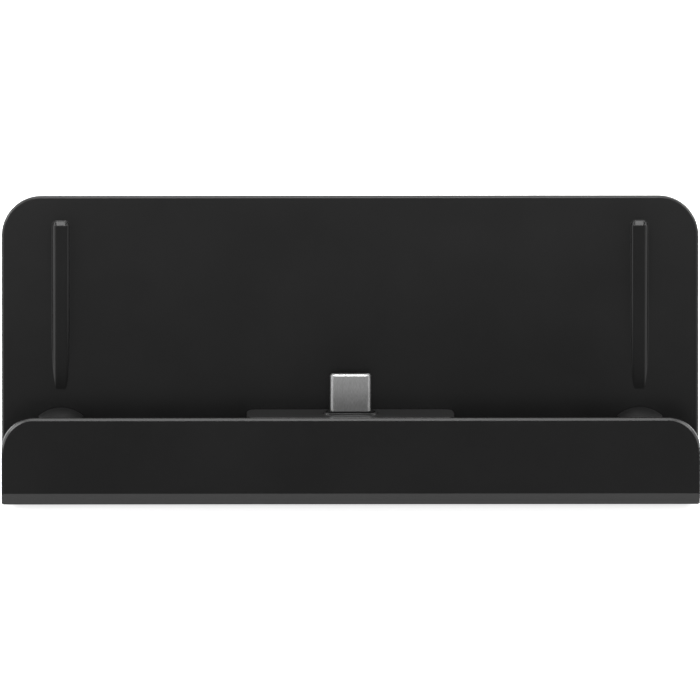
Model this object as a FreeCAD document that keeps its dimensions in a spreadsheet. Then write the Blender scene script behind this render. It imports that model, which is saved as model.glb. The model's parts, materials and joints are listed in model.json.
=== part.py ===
import FreeCAD, Part
import os
import Sketcher

# Charging dock for a handheld console, in millimetres.
# +X is to the right, +Y to the rear and +Z up. The origin is on the table, under the middle of the dock.

SIZES = {
    # Outer form
    "width": 140.0,
    "depth": 62.0,
    "base_gap": 1.0,
    "wall": 2.2,
    # Trough: lip, floor and back plate are one bent sheet of even thickness
    "sheet": 2.9,
    "trough_width": 17.95,
    "outer_bend": 4.0,
    "edge_bevel": 0.35,
    "lip_top": 19.8,
    "lip_corner": 6.6,
    "plate_lean": 15.0,
    "plate_top": 55.7,
    "plate_corner": 8.0,
    # The console's seat plane falls to the rear, square to the plug
    "tray_tilt": 10.0,
    "seat_height": 16.0,
    "plug_inset": 16.1,
    # Ribs of the back plate
    "rib_reach": 58.1,
    "rib_width": 3.5,
    "rib_front": 8.07,
    "rib_start": 2.0,
    "rib_end": 36.9,
    "rib_sink": 0.9,
    "rib_round": 0.9,
    "rib_cap": 0.6,
    # Rear housing and the power inlet in its rear wall
    "housing_width": 104.0,
    "deck_front": 13.0,
    "deck_rear": 12.5,
    "rear_round": 4.0,
    "deck_bevel": 1.0,
    "hollow_front": 26.5,
    "inlet_height": 7.03,
    "inlet_gap": 0.25,
    # Bottom cover, feet and screws
    "cover_thick": 2.0,
    "cover_gap": 0.2,
    "cover_round": 2.0,
    "foot_radius": 4.5,
    "foot_sink": 0.6,
    "foot_gap": 0.1,
    "foot_front_x": 60.0,
    "foot_front": 11.7,
    "foot_rear_x": 43.0,
    "foot_rear": 7.5,
    "foot_bevel": 0.4,
    "boss_reach_x": 46.0,
    "boss_front": 31.0,
    "boss_rear": 17.0,
    "boss_radius": 3.0,
    "screw_radius": 1.2,
    "screw_gap": 0.05,
    "screw_head": 2.2,
    "screw_head_high": 1.1,
    "screw_length": 7.0,
    "screw_seat": 1.2,
    "pilot_spare": 0.3,
    # Plug platform: a hollow block on the trough's floor
    "platform_width": 41.6,
    "platform_depth": 10.8,
    "platform_corner": 2.0,
    "platform_edge": 0.35,
    "platform_top": 1.2,
    "platform_wall": 1.4,
    "platform_deep": 15.0,
    "slot_width": 10.0,
    "slot_depth": 4.0,
    "collar_wide": 0.6,
    "collar_high": 0.35,
    "post_reach": 11.5,
    "post_radius": 2.0,
    "stand_reach": 17.6,
    "stand_shift": 1.5,
    "stand_radius": 2.2,
    "stand_high": 6.3,
    # USB-C plug
    "plug_width": 8.25,
    "plug_thick": 2.4,
    "plug_sheet": 0.3,
    "plug_high": 8.0,
    "plug_deep": 4.0,
    "plug_lead_in": 0.25,
    "fit_gap": 0.02,
    "throat_width": 6.69,
    "throat_thick": 0.8,
    "throat_deep": 6.0,
    "contact_pitch": 0.5,
    "contact_width": 0.26,
    "contact_thick": 0.1,
    "contact_long": 4.4,
    "holder_width": 11.0,
    "holder_depth": 5.0,
    "holder_top": 1.4,
    # Boards
    "board_drop": 6.2,
    "board_thick": 1.0,
    "plug_board_width": 29.0,
    "plug_board_depth": 7.4,
    "small_screw": 0.8,
    "small_head": 1.5,
    "small_head_high": 0.8,
    "small_length": 3.2,
    "main_width": 44.0,
    "main_depth": 20.0,
    "main_thick": 1.2,
    "main_height": 4.2,
    "main_rear_gap": 0.4,
    "main_post_x": 18.0,
    "main_post_y": 12.0,
    "main_post": 2.5,
    # Power inlet
    "inlet_width": 8.94,
    "inlet_thick": 3.26,
    "inlet_long": 7.35,
    "inlet_recess": 0.4,
    "tongue_width": 6.6,
    "tongue_thick": 0.7,
    "tongue_long": 4.6,
    "tongue_base": 2.0,
    # Parts on the main board and the ribbon between the boards
    "chip_size": 4.0,
    "chip_high": 0.9,
    "capacitor_long": 2.0,
    "capacitor_wide": 1.25,
    "capacitor_pitch": 3.0,
    "ribbon_width": 10.0,
    "ribbon_thick": 0.4,
    "ribbon_back": 2.0,
    "ribbon_land": 3.0,
    "ribbon_gap": 0.4,
    # Rest pads: soft low cones on two posts in the trough
    "pad_radius": 4.5,
    "pad_thick": 2.2,
    "pad_proud": 0.9,
    "pad_bevel": 1.6,
    "pad_behind_plug": 2.4,
    "pad_post": 3.2,
    "pad_post_long": 11.5,
}

doc = FreeCAD.newDocument("charging_dock")
sheet = doc.addObject("Spreadsheet::Sheet", "sizes")
for row, (alias, value) in enumerate(SIZES.items(), start=1):
    sheet.set(f"A{row}", alias)
    sheet.set(f"B{row}", str(value))
    sheet.setAlias(f"B{row}", alias)
doc.recompute()

# Lengths that count as none, and as equal; and the share of a capsule's height that is its end's radius.
EXACT = 1e-6
CLOSE = 1e-3
NEARLY_HALF = 0.499

# Places that several pieces share, as expressions on the sheet.
FRONT = "(-sizes.depth / 2)"
REAR = "(sizes.depth / 2)"
PLUG_Y = f"({FRONT} + sizes.plug_inset)"
FLOOR_TOP = "(sizes.base_gap + sizes.sheet)"
LIP_BACK = f"({FRONT} + sizes.sheet)"
HOLLOW_FRONT = f"({FRONT} + sizes.hollow_front)"
COVER_TOP = "(sizes.base_gap + sizes.cover_thick)"
MAIN_TOP = "(sizes.main_height + sizes.main_thick)"
MAIN_REAR = f"({REAR} - sizes.wall - sizes.main_rear_gap)"


def plate_at(z, inward="0"):
    """Place along Y of the back plate's front face at a height, or of a plane inside the plate."""
    foot = f"({LIP_BACK} + sizes.trough_width)"
    return f"({foot} + ({z} - {FLOOR_TOP}) * tan(sizes.plate_lean) + ({inward}) / cos(sizes.plate_lean))"


def number(expression):
    """Value of an expression, as a plain number."""
    return float(sheet.evalExpression(expression))


def vector(x, y, z):
    return FreeCAD.Vector(number(x), number(y), number(z))


def seat_frame():
    """Frame of the console's seat: its origin is where the plug's axis leaves the platform."""
    lean = FreeCAD.Rotation(FreeCAD.Vector(-1, 0, 0), number("sizes.tray_tilt"))
    return FreeCAD.Placement(vector("0", PLUG_Y, "sizes.seat_height"), lean)


def in_seat(height):
    """Plane of the console's seat, moved along the plug's axis."""
    up = FreeCAD.Placement(vector("0", "0", height), FreeCAD.Rotation())
    return seat_frame().multiply(up)


def level_in_seat(height):
    """Level plane at a height over the table, as seen from the frame of the seat."""
    level = FreeCAD.Placement(vector("0", "0", height), FreeCAD.Rotation())
    return seat_frame().inverse().multiply(level)


def new_body(name, in_seat_frame=False):
    body = doc.addObject("PartDesign::Body", name)
    body.Label = name
    if in_seat_frame:
        body.Placement = seat_frame()
    return body


def new_sketch(body, name, plane="XY_Plane", offset=None, at_height=None):
    """Sketch on one of the body's origin planes, moved by a placement or along the plane's normal."""
    sketch = body.newObject("Sketcher::SketchObject", name)
    support = [feature for feature in body.Origin.OriginFeatures if feature.Role == plane][0]
    sketch.AttachmentSupport = [(support, "")]
    sketch.MapMode = "FlatFace"
    if offset is not None:
        sketch.AttachmentOffset = offset
    if at_height is not None:
        sketch.setExpression("AttachmentOffset.Base.z", at_height)
    return sketch


def hold(sketch, constraint, expression):
    """Add a dimension to a sketch and bind it to an expression."""
    index = sketch.addConstraint(constraint)
    sketch.setExpression(f"Constraints[{index}]", expression)


def hold_point(sketch, geometry, point, x, y):
    hold(sketch, Sketcher.Constraint("DistanceX", geometry, point, number(x)), x)
    hold(sketch, Sketcher.Constraint("DistanceY", geometry, point, number(y)), y)


def outline(sketch, corners):
    """Closed outline of straight lines through corners, each a pair of expressions."""
    first = sketch.GeometryCount
    places = [vector(x, y, "0") for x, y in corners]
    count = len(corners)
    for k in range(count):
        sketch.addGeometry(Part.LineSegment(places[k], places[(k + 1) % count]), False)
    for k in range(count):
        following = first + (k + 1) % count
        sketch.addConstraint(Sketcher.Constraint("Coincident", first + k, 2, following, 1))
    for k, (x, y) in enumerate(corners):
        hold_point(sketch, first + k, 1, x, y)


def circle(sketch, x, y, radius):
    centre = vector(x, y, "0")
    index = sketch.addGeometry(Part.Circle(centre, FreeCAD.Vector(0, 0, 1), number(radius)), False)
    hold_point(sketch, index, 3, x, y)
    hold(sketch, Sketcher.Constraint("Radius", index, number(radius)), radius)


def arc_between(centre, radius, start, end):
    """Arc about a centre, from a start to an end angle in quarter turns."""
    quarter = FreeCAD.Units.Quantity("90 deg").getValueAs("rad").Value
    full = Part.Circle(centre, FreeCAD.Vector(0, 0, 1), radius)
    return Part.ArcOfCircle(full, start * quarter, end * quarter)


def rounded_rectangle(sketch, x, y, width, height, radius):
    """Rectangle about a centre, with rounded corners."""
    left, right = f"({x}) - ({width}) / 2", f"({x}) + ({width}) / 2"
    low, high = f"({y}) - ({height}) / 2", f"({y}) + ({height}) / 2"
    r = number(radius)
    x0, x1, y0, y1 = number(left), number(right), number(low), number(high)
    flat = FreeCAD.Vector
    first = sketch.GeometryCount
    sides = [
        (flat(x0 + r, y0), flat(x1 - r, y0)),
        (flat(x1, y0 + r), flat(x1, y1 - r)),
        (flat(x1 - r, y1), flat(x0 + r, y1)),
        (flat(x0, y1 - r), flat(x0, y0 + r)),
    ]
    for start, end in sides:
        sketch.addGeometry(Part.LineSegment(start, end), False)
    centres = [flat(x1 - r, y0 + r), flat(x1 - r, y1 - r), flat(x0 + r, y1 - r), flat(x0 + r, y0 + r)]
    for k, centre in enumerate(centres):
        sketch.addGeometry(arc_between(centre, r, k + 3, k + 4), False)
    for k in range(4):
        line, arc, following = first + k, first + 4 + k, first + (k + 1) % 4
        sketch.addConstraint(Sketcher.Constraint("Tangent", line, 2, arc, 1))
        sketch.addConstraint(Sketcher.Constraint("Tangent", arc, 2, following, 1))
    for k, direction in enumerate(("Horizontal", "Vertical", "Horizontal", "Vertical")):
        sketch.addConstraint(Sketcher.Constraint(direction, first + k))
    hold(sketch, Sketcher.Constraint("Radius", first + 4, r), radius)
    for k in (5, 6, 7):
        sketch.addConstraint(Sketcher.Constraint("Equal", first + 4, first + k))
    hold(sketch, Sketcher.Constraint("DistanceY", first, 1, y0), low)
    hold(sketch, Sketcher.Constraint("DistanceX", first + 1, 1, x1), right)
    hold(sketch, Sketcher.Constraint("DistanceY", first + 2, 1, y1), high)
    hold(sketch, Sketcher.Constraint("DistanceX", first + 3, 1, x0), left)


def capsule(sketch, x, y, width, height):
    """Rectangle whose ends are full rounds, as a USB-C shell's section."""
    rounded_rectangle(sketch, x, y, width, height, f"({height}) * {NEARLY_HALF}")


def pad(body, sketch, length, midplane=False, reverse=False):
    feature = body.newObject("PartDesign::Pad", f"{sketch.Name}_pad")
    feature.Profile = sketch
    feature.setExpression("Length", length)
    feature.Midplane = midplane
    feature.Reversed = reverse
    doc.recompute()
    return feature


def pocket(body, sketch, length, midplane=False, reverse=False):
    """Cut a sketch into the body; a cut that takes nothing away is an error."""
    before = body.Shape.Volume
    feature = body.newObject("PartDesign::Pocket", f"{sketch.Name}_cut")
    feature.Profile = sketch
    feature.setExpression("Length", length)
    feature.Midplane = midplane
    feature.Reversed = reverse
    doc.recompute()
    if body.Shape.Volume > before - EXACT:
        raise ValueError(f"{feature.Name} cuts nothing")
    return feature


def edges_where(feature, test):
    """Names of a feature's edges whose box passes a test."""
    return [f"Edge{n}" for n, edge in enumerate(feature.Shape.Edges, start=1) if test(edge.BoundBox)]


def fillet(body, radius, test):
    """Round the edges of the body whose box passes a test."""
    base = body.Tip
    feature = body.newObject("PartDesign::Fillet", f"{base.Name}_round")
    feature.Base = (base, edges_where(base, test))
    feature.setExpression("Radius", radius)
    doc.recompute()
    return feature


def chamfer(body, size, test):
    """Bevel the edges of the body whose box passes a test."""
    base = body.Tip
    feature = body.newObject("PartDesign::Chamfer", f"{base.Name}_bevel")
    feature.Base = (base, edges_where(base, test))
    feature.setExpression("Size", size)
    doc.recompute()
    return feature


def near(value, expression):
    return abs(value - number(expression)) < CLOSE


def box(name, size, place, frame=None):
    """Block from its sizes and its low corner, both as expressions."""
    block = doc.addObject("Part::Box", name)
    for side, expression in zip(("Length", "Width", "Height"), size):
        block.setExpression(side, expression)
    put(block, place, frame)
    return block


def cylinder(name, radius, height, place, frame=None):
    """Upright cylinder from its radius, height and the middle of its lower end."""
    rod = doc.addObject("Part::Cylinder", name)
    rod.setExpression("Radius", radius)
    rod.setExpression("Height", height)
    put(rod, place, frame)
    return rod


def put(item, place, frame):
    local = FreeCAD.Placement(vector(*place), FreeCAD.Rotation())
    item.Placement = local if frame is None else frame.multiply(local)


def group(name, members):
    """One node of several separate like solids."""
    compound = doc.addObject("Part::Compound", name)
    compound.Label = name
    compound.Links = members
    return compound


def side_word(side):
    return "left" if side < 0 else "right"


COVER_SCREWS = [
    (f"{side} * sizes.boss_reach_x", y)
    for side in (-1, 1)
    for y in (f"({FRONT} + sizes.boss_front)", f"({REAR} - sizes.boss_rear)")
]
STAND_SCREWS = [(f"{side} * sizes.stand_reach", f"({PLUG_Y} - sizes.stand_shift)") for side in (-1, 1)]
FEET = {
    f"foot_{end}_{side_word(side)}": (f"{side} * sizes.foot_{end}_x", y)
    for end, y in (("front", f"({FRONT} + sizes.foot_front)"), ("rear", f"({REAR} - sizes.foot_rear)"))
    for side in (-1, 1)
}
MAIN_POSTS = [(f"{side} * sizes.main_post_x", "sizes.main_post_y") for side in (-1, 1)]
PLUG_POSTS = [(f"{side} * sizes.post_reach", "0") for side in (-1, 1)]
PADS = [(f"{side} * sizes.rib_reach", "sizes.pad_behind_plug") for side in (-1, 1)]
PAD_LOW = "(sizes.pad_proud - sizes.pad_thick)"
PILOT = "(sizes.screw_length - sizes.cover_thick + sizes.screw_seat + sizes.pilot_spare)"
STAND_PILOT = "(sizes.screw_length - sizes.sheet + sizes.screw_seat + sizes.pilot_spare)"
SMALL_PILOT = "(sizes.small_screw + sizes.screw_gap)"


def trough(body):
    """Bent sheet of lip, floor and back plate, with rounded bends and corners and a bevelled rim."""
    side_view = new_sketch(body, "trough_side", "YZ_Plane")
    across_y = "sizes.sheet * cos(sizes.plate_lean)"
    across_z = "sizes.sheet * sin(sizes.plate_lean)"
    top_y = plate_at("sizes.plate_top")
    outline(side_view, [
        (FRONT, "sizes.base_gap"),
        (plate_at("sizes.base_gap", "sizes.sheet"), "sizes.base_gap"),
        (f"{top_y} + {across_y}", f"sizes.plate_top - {across_z}"),
        (top_y, "sizes.plate_top"),
        (plate_at(FLOOR_TOP), FLOOR_TOP),
        (LIP_BACK, FLOOR_TOP),
        (LIP_BACK, "sizes.lip_top"),
        (FRONT, "sizes.lip_top"),
    ])
    pad(body, side_view, "sizes.width", midplane=True)
    fillet(body, "sizes.outer_bend", lambda b: near(b.ZMax, "sizes.base_gap") and b.YLength < EXACT)
    inner_bend = "sizes.outer_bend - sizes.sheet"

    def inside_bend(b):
        return near(b.ZMin, FLOOR_TOP) and near(b.ZMax, FLOOR_TOP) and b.YLength < EXACT

    fillet(body, inner_bend, inside_bend)
    fillet(body, "sizes.lip_corner", lambda b: near(b.ZMin, "sizes.lip_top") and b.XLength < EXACT)
    high = number("sizes.plate_top - sizes.sheet")
    fillet(body, "sizes.plate_corner", lambda b: b.ZMin > high and b.XLength < EXACT)
    wide = number("sizes.width - sizes.sheet")

    def rim(b):
        return b.XLength < wide and not near(b.DiagonalLength, "sizes.sheet")

    chamfer(body, "sizes.edge_bevel", rim)


def ribs(body):
    """Two wedges that stand square to the seat, so they come out of the leaning plate towards its top."""
    for side in (-1, 1):
        sections = []
        for end in ("rib_start", "rib_end"):
            section = new_sketch(body, f"{end}_{side_word(side)}", offset=in_seat(f"sizes.{end}"))
            growth = f"(sizes.{end} - sizes.rib_start) * tan(sizes.plate_lean - sizes.tray_tilt)"
            thick = f"(2 * sizes.rib_round + sizes.rib_sink + {growth})"
            x, y = f"{side} * sizes.rib_reach", f"sizes.rib_front + {thick} / 2"
            rounded_rectangle(section, x, y, "sizes.rib_width", thick, "sizes.rib_round")
            sections.append(section)
        rib = body.newObject("PartDesign::AdditiveLoft", f"rib_{side_word(side)}")
        rib.Profile = sections[0]
        rib.Sections = sections[1:]
        rib.Ruled = True
        doc.recompute()


def rib_caps(body):
    """Bevels round the upper ends of the ribs, as far as the plate."""
    cap = in_seat("sizes.rib_end").Base
    low, high = cap.z - number("sizes.sheet"), cap.z + number("sizes.sheet") / 2
    plate = number(plate_at("sizes.seat_height + sizes.rib_end * cos(sizes.tray_tilt)", "-sizes.rib_cap"))
    inner, outer = number("sizes.rib_reach - sizes.rib_width"), number("sizes.rib_reach + sizes.rib_width")

    def on_cap(b):
        near_x, far_x = sorted((abs(b.XMin), abs(b.XMax)))
        on_rib = inner < near_x and far_x < outer
        return on_rib and low < b.ZMin and b.ZMax < high and b.YMin < plate

    chamfer(body, "sizes.rib_cap", on_cap)


def rear_housing(body):
    """Low box behind the plate, open below, with rounded rear corners and a bevelled deck."""
    side_view = new_sketch(body, "housing_side", "YZ_Plane")
    half = "sizes.sheet / 2"
    start = f"{plate_at('sizes.base_gap')} - sizes.cover_gap"
    outline(side_view, [
        (start, "sizes.base_gap"),
        (REAR, "sizes.base_gap"),
        (REAR, "sizes.deck_rear"),
        (plate_at("sizes.deck_front", half), "sizes.deck_front"),
        (plate_at(FLOOR_TOP, half), FLOOR_TOP),
    ])
    pad(body, side_view, "sizes.housing_width", midplane=True)
    fillet(body, "sizes.rear_round", lambda b: near(b.YMin, REAR) and b.XLength < EXACT)
    low, high = number("sizes.deck_rear") - CLOSE, number("sizes.deck_front")

    def deck_edge(b):
        return b.ZMin > low and b.ZMax < high and b.YMax > 0

    chamfer(body, "sizes.deck_bevel", deck_edge)
    hollow = new_sketch(body, "hollow_side", "YZ_Plane")
    inner_rear = f"({REAR} - sizes.wall)"
    outline(hollow, [
        (HOLLOW_FRONT, "sizes.base_gap"),
        (HOLLOW_FRONT, "sizes.deck_front - sizes.wall"),
        (inner_rear, "sizes.deck_rear - sizes.wall"),
        (inner_rear, "sizes.base_gap"),
    ])
    pocket(body, hollow, "sizes.housing_width - 2 * sizes.wall", midplane=True)


def bosses_and_posts(body):
    """Bosses from the deck down to the cover, each with its pilot hole, and the posts of the rest pads."""
    bosses = new_sketch(body, "cover_bosses", at_height=COVER_TOP)
    for x, y in COVER_SCREWS:
        circle(bosses, x, y, "sizes.boss_radius")
    pad(body, bosses, f"sizes.deck_rear - sizes.wall / 2 - {COVER_TOP}")
    pilots = new_sketch(body, "boss_pilots", at_height=COVER_TOP)
    for x, y in COVER_SCREWS:
        circle(pilots, x, y, "sizes.screw_radius + sizes.screw_gap")
    pocket(body, pilots, PILOT, reverse=True)
    posts = new_sketch(body, "pad_posts", offset=in_seat(PAD_LOW))
    for x, y in PADS:
        circle(posts, x, y, "sizes.pad_post")
    pad(body, posts, "sizes.pad_post_long", reverse=True)


def shell_openings(body):
    """Seats for the front feet and the platform's screws, the ribbon's slot and the inlet's window."""
    feet = new_sketch(body, "front_foot_seats", at_height="sizes.base_gap")
    for name in ("foot_front_left", "foot_front_right"):
        circle(feet, *FEET[name], "sizes.foot_radius + sizes.foot_gap")
    pocket(body, feet, "sizes.foot_sink", reverse=True)
    heads = new_sketch(body, "stand_head_seats", at_height="sizes.base_gap")
    holes = new_sketch(body, "stand_holes", at_height="sizes.base_gap")
    for x, y in STAND_SCREWS:
        circle(heads, x, y, "sizes.screw_head + sizes.cover_gap")
        circle(holes, x, y, "sizes.screw_radius + sizes.screw_gap")
    pocket(body, heads, "sizes.screw_seat", reverse=True)
    pocket(body, holes, "2 * sizes.sheet", reverse=True)
    front = plate_at(MAIN_TOP)
    slot = new_sketch(body, "ribbon_slot", "XZ_Plane", at_height=f"-({front} + {HOLLOW_FRONT}) / 2")
    half = "(sizes.ribbon_width / 2 + sizes.ribbon_gap)"
    low, high = f"{MAIN_TOP} - sizes.ribbon_gap", f"{MAIN_TOP} + sizes.ribbon_thick + sizes.ribbon_gap"
    outline(slot, [(f"-{half}", low), (half, low), (half, high), (f"-{half}", high)])
    pocket(body, slot, f"{HOLLOW_FRONT} - {front} + sizes.wall", midplane=True)
    window = new_sketch(body, "inlet_window", "XZ_Plane", at_height=f"-{REAR}")
    wide, high = "sizes.inlet_width + 2 * sizes.inlet_gap", "sizes.inlet_thick + 2 * sizes.inlet_gap"
    capsule(window, "0", "sizes.inlet_height", wide, high)
    pocket(body, window, "3 * sizes.wall", midplane=True)


def upper_shell():
    """The dock's one large moulding: trough with lip and back plate, ribs and rear housing."""
    body = new_body("upper_shell")
    trough(body)
    ribs(body)
    rib_caps(body)
    rear_housing(body)
    bosses_and_posts(body)
    shell_openings(body)
    return body


def bottom_cover():
    """Flat moulded cover with seats for the rear feet and screw heads, and posts for the main board."""
    body = new_body("bottom_cover")
    front, rear = f"({HOLLOW_FRONT} + sizes.cover_gap)", f"({REAR} - sizes.wall - sizes.cover_gap)"
    plate = new_sketch(body, "cover_plate", at_height="sizes.base_gap")
    wide = "sizes.housing_width - 2 * (sizes.wall + sizes.cover_gap)"
    rounded_rectangle(plate, "0", f"({front} + {rear}) / 2", wide, f"{rear} - {front}", "sizes.cover_round")
    pad(body, plate, "sizes.cover_thick")
    posts = new_sketch(body, "main_posts", at_height="sizes.base_gap")
    for x, y in MAIN_POSTS:
        circle(posts, x, y, "sizes.main_post")
    pad(body, posts, "sizes.main_height - sizes.base_gap")
    pilots = new_sketch(body, "post_pilots", at_height="sizes.main_height")
    for x, y in MAIN_POSTS:
        circle(pilots, x, y, SMALL_PILOT)
    pocket(body, pilots, "sizes.small_length - sizes.main_thick + sizes.pilot_spare / 2")
    feet = new_sketch(body, "rear_foot_seats", at_height="sizes.base_gap")
    for name in ("foot_rear_left", "foot_rear_right"):
        circle(feet, *FEET[name], "sizes.foot_radius + sizes.foot_gap")
    pocket(body, feet, "sizes.foot_sink", reverse=True)
    heads = new_sketch(body, "head_seats", at_height="sizes.base_gap")
    for x, y in COVER_SCREWS:
        circle(heads, x, y, "sizes.screw_head + sizes.cover_gap")
    pocket(body, heads, "sizes.screw_seat", reverse=True)
    holes = new_sketch(body, "screw_holes", at_height="sizes.base_gap")
    for x, y in COVER_SCREWS:
        circle(holes, x, y, "sizes.screw_radius + sizes.screw_gap")
    pocket(body, holes, "sizes.cover_thick", reverse=True)
    return body


def foot(name, x, y):
    """Round rubber foot, bevelled where it meets the table."""
    body = new_body(name)
    disc = new_sketch(body, f"{name}_disc")
    circle(disc, x, y, "sizes.foot_radius")
    pad(body, disc, "sizes.base_gap + sizes.foot_sink")
    chamfer(body, "sizes.foot_bevel", lambda b: near(b.ZMax, "0") and b.ZLength < EXACT)
    return body


def screws(name, places, head, head_high, shank, length, head_z, direction, frame=None):
    """Pan-head screws, one at each place; direction is the way the shank points along Z."""
    head_low = f"{head_z} - {head_high}" if direction > 0 else head_z
    shank_low = head_z if direction > 0 else f"{head_z} - {length}"
    members = []
    for k, (x, y) in enumerate(places):
        cap = cylinder(f"{name}_head_{k}", head, head_high, (x, y, head_low), frame)
        rod = cylinder(f"{name}_shank_{k}", shank, length, (x, y, shank_low), frame)
        screw = doc.addObject("Part::Fuse", f"{name}_{k}")
        screw.Base = cap
        screw.Tool = rod
        members.append(screw)
    return group(name, members)


def level_line(y, height):
    """Level line at a height over the table, in the frame of the seat, at a place along that frame's Y."""
    return f"(({height} - sizes.seat_height + ({y}) * sin(sizes.tray_tilt)) / cos(sizes.tray_tilt))"


def plug_platform():
    """Hollow block over the plug board: collared slot on top, board posts and screw bosses inside."""
    body = new_body("plug_platform", in_seat_frame=True)
    block = new_sketch(body, "platform_block", at_height="-sizes.platform_deep")
    wide, deep = "sizes.platform_width", "sizes.platform_depth"
    rounded_rectangle(block, "0", "0", wide, deep, "sizes.platform_corner")
    pad(body, block, "sizes.platform_deep")
    chamfer(body, "sizes.platform_edge", lambda b: near(b.ZMin, "0"))
    collar = new_sketch(body, "platform_collar")
    wide, deep = "sizes.slot_width + 2 * sizes.collar_wide", "sizes.slot_depth + 2 * sizes.collar_wide"
    capsule(collar, "0", "0", wide, deep)
    pad(body, collar, "sizes.collar_high")
    inside = new_sketch(body, "platform_inside", at_height="-sizes.platform_deep")
    wide = "sizes.platform_width - 2 * sizes.platform_wall"
    deep = "sizes.platform_depth - 2 * sizes.platform_wall"
    rounded_rectangle(inside, "0", "0", wide, deep, "sizes.platform_wall / 2")
    pocket(body, inside, "sizes.platform_deep - sizes.platform_top", reverse=True)
    posts = new_sketch(body, "platform_posts", at_height="-sizes.board_drop")
    for x, y in PLUG_POSTS:
        circle(posts, x, y, "sizes.post_radius")
    pad(body, posts, "sizes.board_drop - sizes.platform_top / 2")
    pilots = new_sketch(body, "platform_pilots", at_height="-sizes.board_drop")
    for x, y in PLUG_POSTS:
        circle(pilots, x, y, SMALL_PILOT)
    pocket(body, pilots, "sizes.small_length - sizes.board_thick + sizes.pilot_spare", reverse=True)
    stands = new_sketch(body, "platform_stands", offset=level_in_seat(FLOOR_TOP))
    stand_pilots = new_sketch(body, "stand_pilots", offset=level_in_seat(FLOOR_TOP))
    for x, y in STAND_SCREWS:
        circle(stands, x, y, "sizes.stand_radius")
        circle(stand_pilots, x, y, "sizes.screw_radius + sizes.screw_gap")
    pad(body, stands, "sizes.stand_high")
    pocket(body, stand_pilots, STAND_PILOT, reverse=True)
    below = new_sketch(body, "platform_foot", "YZ_Plane")
    ground = f"({FLOOR_TOP} + sizes.fit_gap)"
    front, rear = "-sizes.platform_depth", "sizes.platform_depth"
    deep = "-2 * sizes.platform_deep"
    outline(below, [
        (front, level_line(front, ground)),
        (rear, level_line(rear, ground)),
        (rear, deep),
        (front, deep),
    ])
    pocket(body, below, "2 * sizes.platform_width", midplane=True)
    gate = new_sketch(body, "ribbon_gate", "XZ_Plane", at_height="-sizes.platform_depth / 2")
    half = "(sizes.ribbon_width / 2 + sizes.ribbon_gap)"
    low = "-sizes.platform_deep"
    high = level_line("sizes.platform_depth / 2", f"{MAIN_TOP} + sizes.ribbon_thick + 2 * sizes.ribbon_gap")
    outline(gate, [(f"-{half}", low), (half, low), (half, high), (f"-{half}", high)])
    pocket(body, gate, "3 * sizes.platform_wall", midplane=True)
    slot = new_sketch(body, "platform_slot", at_height="sizes.collar_high")
    capsule(slot, "0", "0", "sizes.slot_width", "sizes.slot_depth")
    pocket(body, slot, "sizes.collar_high + 2 * sizes.platform_top")
    return body


def plug_shell():
    """Drawn steel shell of the USB-C plug, a capsule in section, with a bevelled lead-in at its tip."""
    body = new_body("plug_shell", in_seat_frame=True)
    outside = new_sketch(body, "plug_outside", at_height="-sizes.plug_deep")
    capsule(outside, "0", "0", "sizes.plug_width", "sizes.plug_thick")
    pad(body, outside, "sizes.plug_deep + sizes.plug_high")
    chamfer(body, "sizes.plug_lead_in", lambda b: near(b.ZMin, "sizes.plug_high"))
    inside = new_sketch(body, "plug_inside", at_height="sizes.plug_high")
    less = "2 * sizes.plug_sheet"
    capsule(inside, "0", "0", f"sizes.plug_width - {less}", f"sizes.plug_thick - {less}")
    pocket(body, inside, "sizes.plug_deep + sizes.plug_high")
    return body


PLUG_FACE = "(sizes.plug_high - sizes.plug_lead_in)"


def plug_insulator():
    """Moulded core of the plug, with the throat that the socket's tongue goes into."""
    body = new_body("plug_insulator", in_seat_frame=True)
    core = new_sketch(body, "core_outside", at_height="-sizes.plug_deep")
    less = "2 * (sizes.plug_sheet + sizes.fit_gap)"
    capsule(core, "0", "0", f"sizes.plug_width - {less}", f"sizes.plug_thick - {less}")
    pad(body, core, f"sizes.plug_deep + {PLUG_FACE}")
    throat = new_sketch(body, "core_throat", at_height=PLUG_FACE)
    outline(throat, [
        ("-sizes.throat_width / 2", "-sizes.throat_thick / 2"),
        ("sizes.throat_width / 2", "-sizes.throat_thick / 2"),
        ("sizes.throat_width / 2", "sizes.throat_thick / 2"),
        ("-sizes.throat_width / 2", "sizes.throat_thick / 2"),
    ])
    pocket(body, throat, "sizes.throat_deep")
    return body


CONTACTS = 12
CONTACT_X = [
    f"({k} - ({CONTACTS} - 1) / 2) * sizes.contact_pitch - sizes.contact_width / 2"
    for k in range(CONTACTS)
]


def plug_contacts():
    """Two rows of spring contacts on the walls of the plug's throat."""
    size = ("sizes.contact_width", "sizes.contact_thick", "sizes.contact_long")
    low = f"{PLUG_FACE} - sizes.throat_deep"
    rows = {"front": "-sizes.throat_thick / 2", "rear": "sizes.throat_thick / 2 - sizes.contact_thick"}
    members = [
        box(f"plug_contact_{row}_{k}", size, (x, y, low), seat_frame())
        for row, y in rows.items()
        for k, x in enumerate(CONTACT_X)
    ]
    return group("plug_contacts", members)


def plug_holder():
    """Moulded block that carries the plug's shell on the plug board."""
    body = new_body("plug_holder", in_seat_frame=True)
    block = new_sketch(body, "holder_block", at_height="-sizes.board_drop")
    rounded_rectangle(block, "0", "0", "sizes.holder_width", "sizes.holder_depth", "sizes.board_thick")
    pad(body, block, "sizes.board_drop - sizes.holder_top")
    socket = new_sketch(body, "holder_socket", at_height="-sizes.holder_top")
    more = "2 * sizes.fit_gap"
    capsule(socket, "0", "0", f"sizes.plug_width + {more}", f"sizes.plug_thick + {more}")
    pocket(body, socket, "sizes.plug_deep - sizes.holder_top")
    return body


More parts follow.
